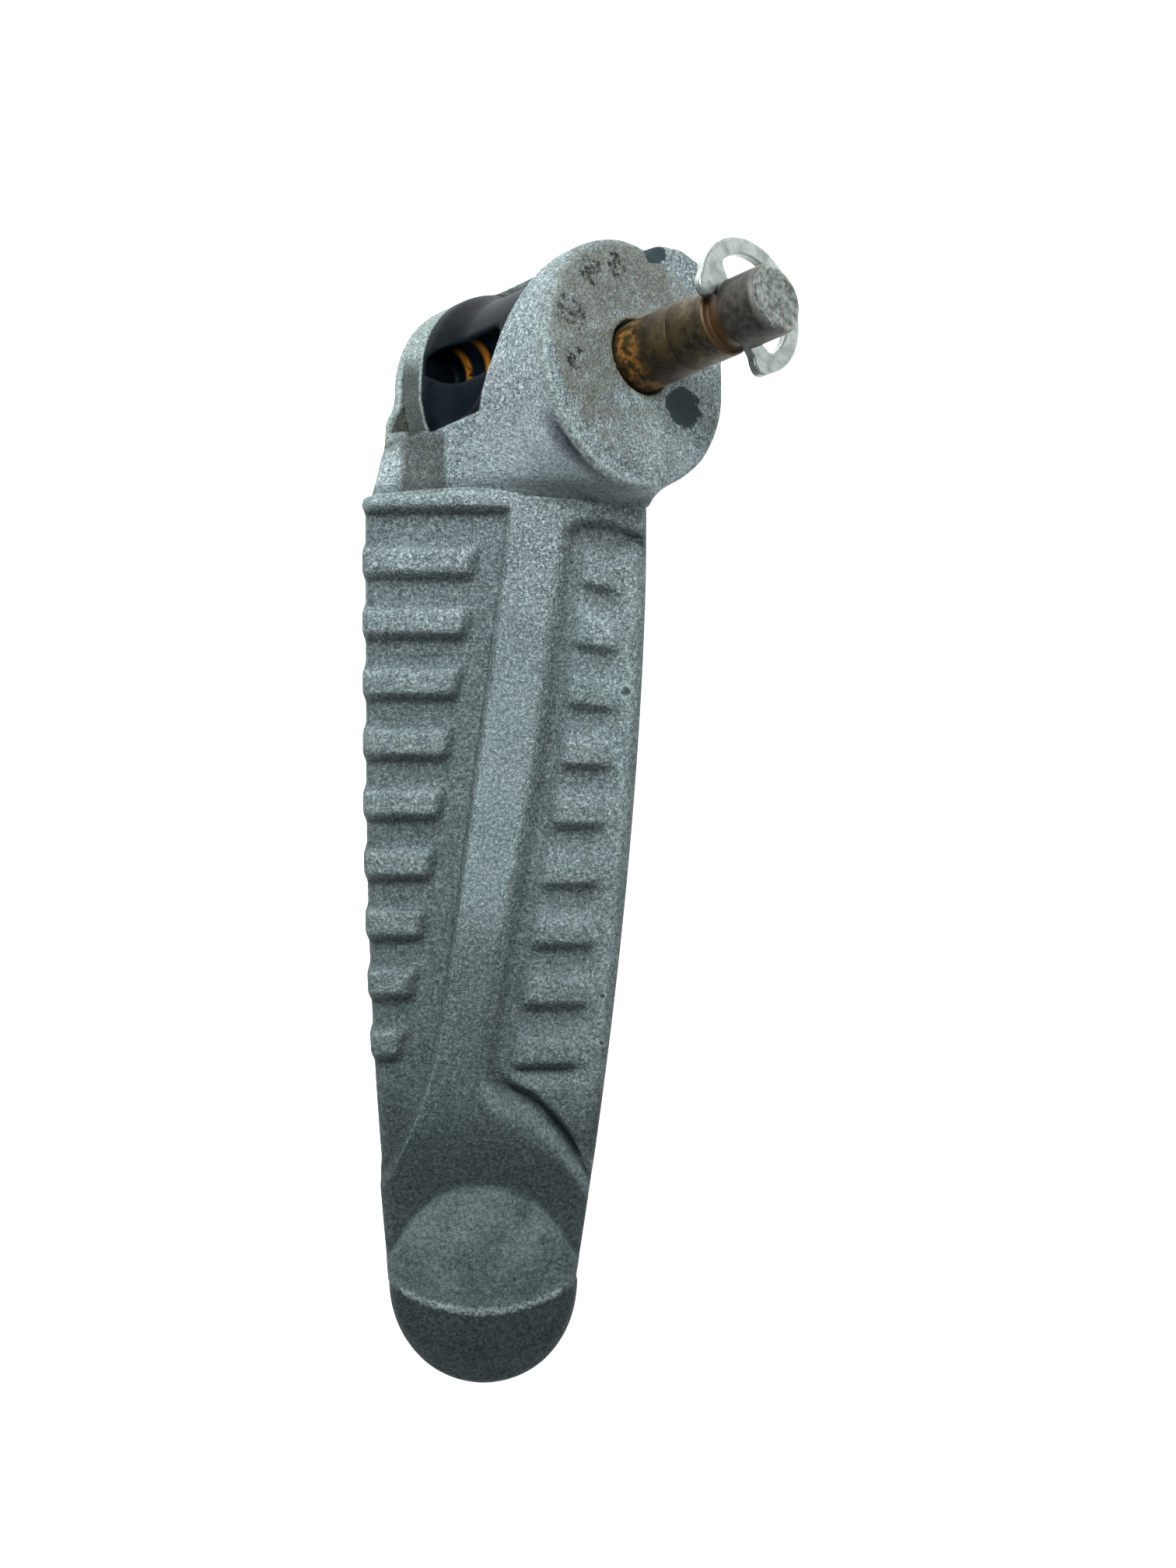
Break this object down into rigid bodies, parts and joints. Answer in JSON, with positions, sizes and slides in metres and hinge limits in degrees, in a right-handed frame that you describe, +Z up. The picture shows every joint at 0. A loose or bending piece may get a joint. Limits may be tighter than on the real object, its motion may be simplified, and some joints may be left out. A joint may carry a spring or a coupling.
{
  "type": "motorcycle foot peg",
  "caption": "Folding cast foot peg with ribbed tread on an inclined headed pivot pin, kept on its pin by an E-clip.",
  "frame": {"origin": "on the pivot pin's axis, in the outer face of the round hinge boss", "axes": "+X from the hinge out to the tip, +Y across the tread towards the pin's free end, +Z up out of the tread"},
  "size_m": [0.1305, 0.0491, 0.0446],
  "materials": {
    "cast_aluminium": "blasted casting with remains of black paint",
    "rusty_steel": "rust patina, scuffed end",
    "bright_clip": "bright plated",
    "ball_steel": "worn steel",
    "spring_steel": "rusty spring wire"
  },
  "bodies": {
    "pin": {"pivot_pin": "rusty_steel"},
    "peg": {"peg_casting": "cast_aluminium", "detent_spring": "spring_steel"},
    "clip": {"e_clip": "bright_clip"},
    "ball": {"detent_ball": "ball_steel"}
  },
  "joints": [
    {"name": "fold", "type": "hinge", "parent": "pin", "child": "peg", "pos_m": [0, 0, 0], "axis": [0.2542, -0.6983, -0.6691], "range_deg": [0, 85]},
    {"name": "clip_turn", "type": "hinge", "parent": "pin", "child": "clip", "pos_m": [-0.00374, 0.01026, 0.00984], "axis": [-0.2542, 0.6983, 0.6691], "continuous": true},
    {"name": "ball_press", "type": "slide", "parent": "peg", "child": "ball", "axis": [-0.2542, 0.6983, 0.6691], "range_m": [0, 0.0009], "stiffness_N_per_m": 2500, "springref_m": -0.001, "deforming": ["detent_spring"]}
  ]
}
